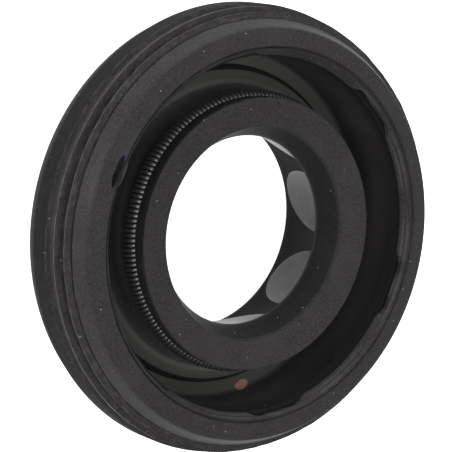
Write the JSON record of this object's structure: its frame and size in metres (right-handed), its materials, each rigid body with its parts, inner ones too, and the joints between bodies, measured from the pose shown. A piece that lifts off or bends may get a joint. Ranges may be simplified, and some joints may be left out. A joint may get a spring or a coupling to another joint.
{
  "type": "radial shaft seal",
  "caption": "Rubber-covered radial shaft seal ring with ribbed outside, steel case, spring-loaded lip and raised pads on its air side.",
  "frame": {"origin": "centre of the flat back face, on the side that faces the air, in the plane the seal lies on", "axes": "+Z along the seal's axis towards the spring side; +X and +Y are free to turn, the air-side pads and rim notches being spaced evenly round +Z"},
  "size_m": [0.0262, 0.0262, 0.007],
  "materials": {
    "seal_rubber": "matte black moulded nitrile rubber, glossier in the bore",
    "case_steel": "thin dark bonding coat on stamped steel",
    "spring_steel": "dark oiled spring wire"
  },
  "bodies": {
    "root": {"seal_body": "seal_rubber", "case_ring": "case_steel", "garter_spring": "spring_steel"}
  },
  "joints": []
}
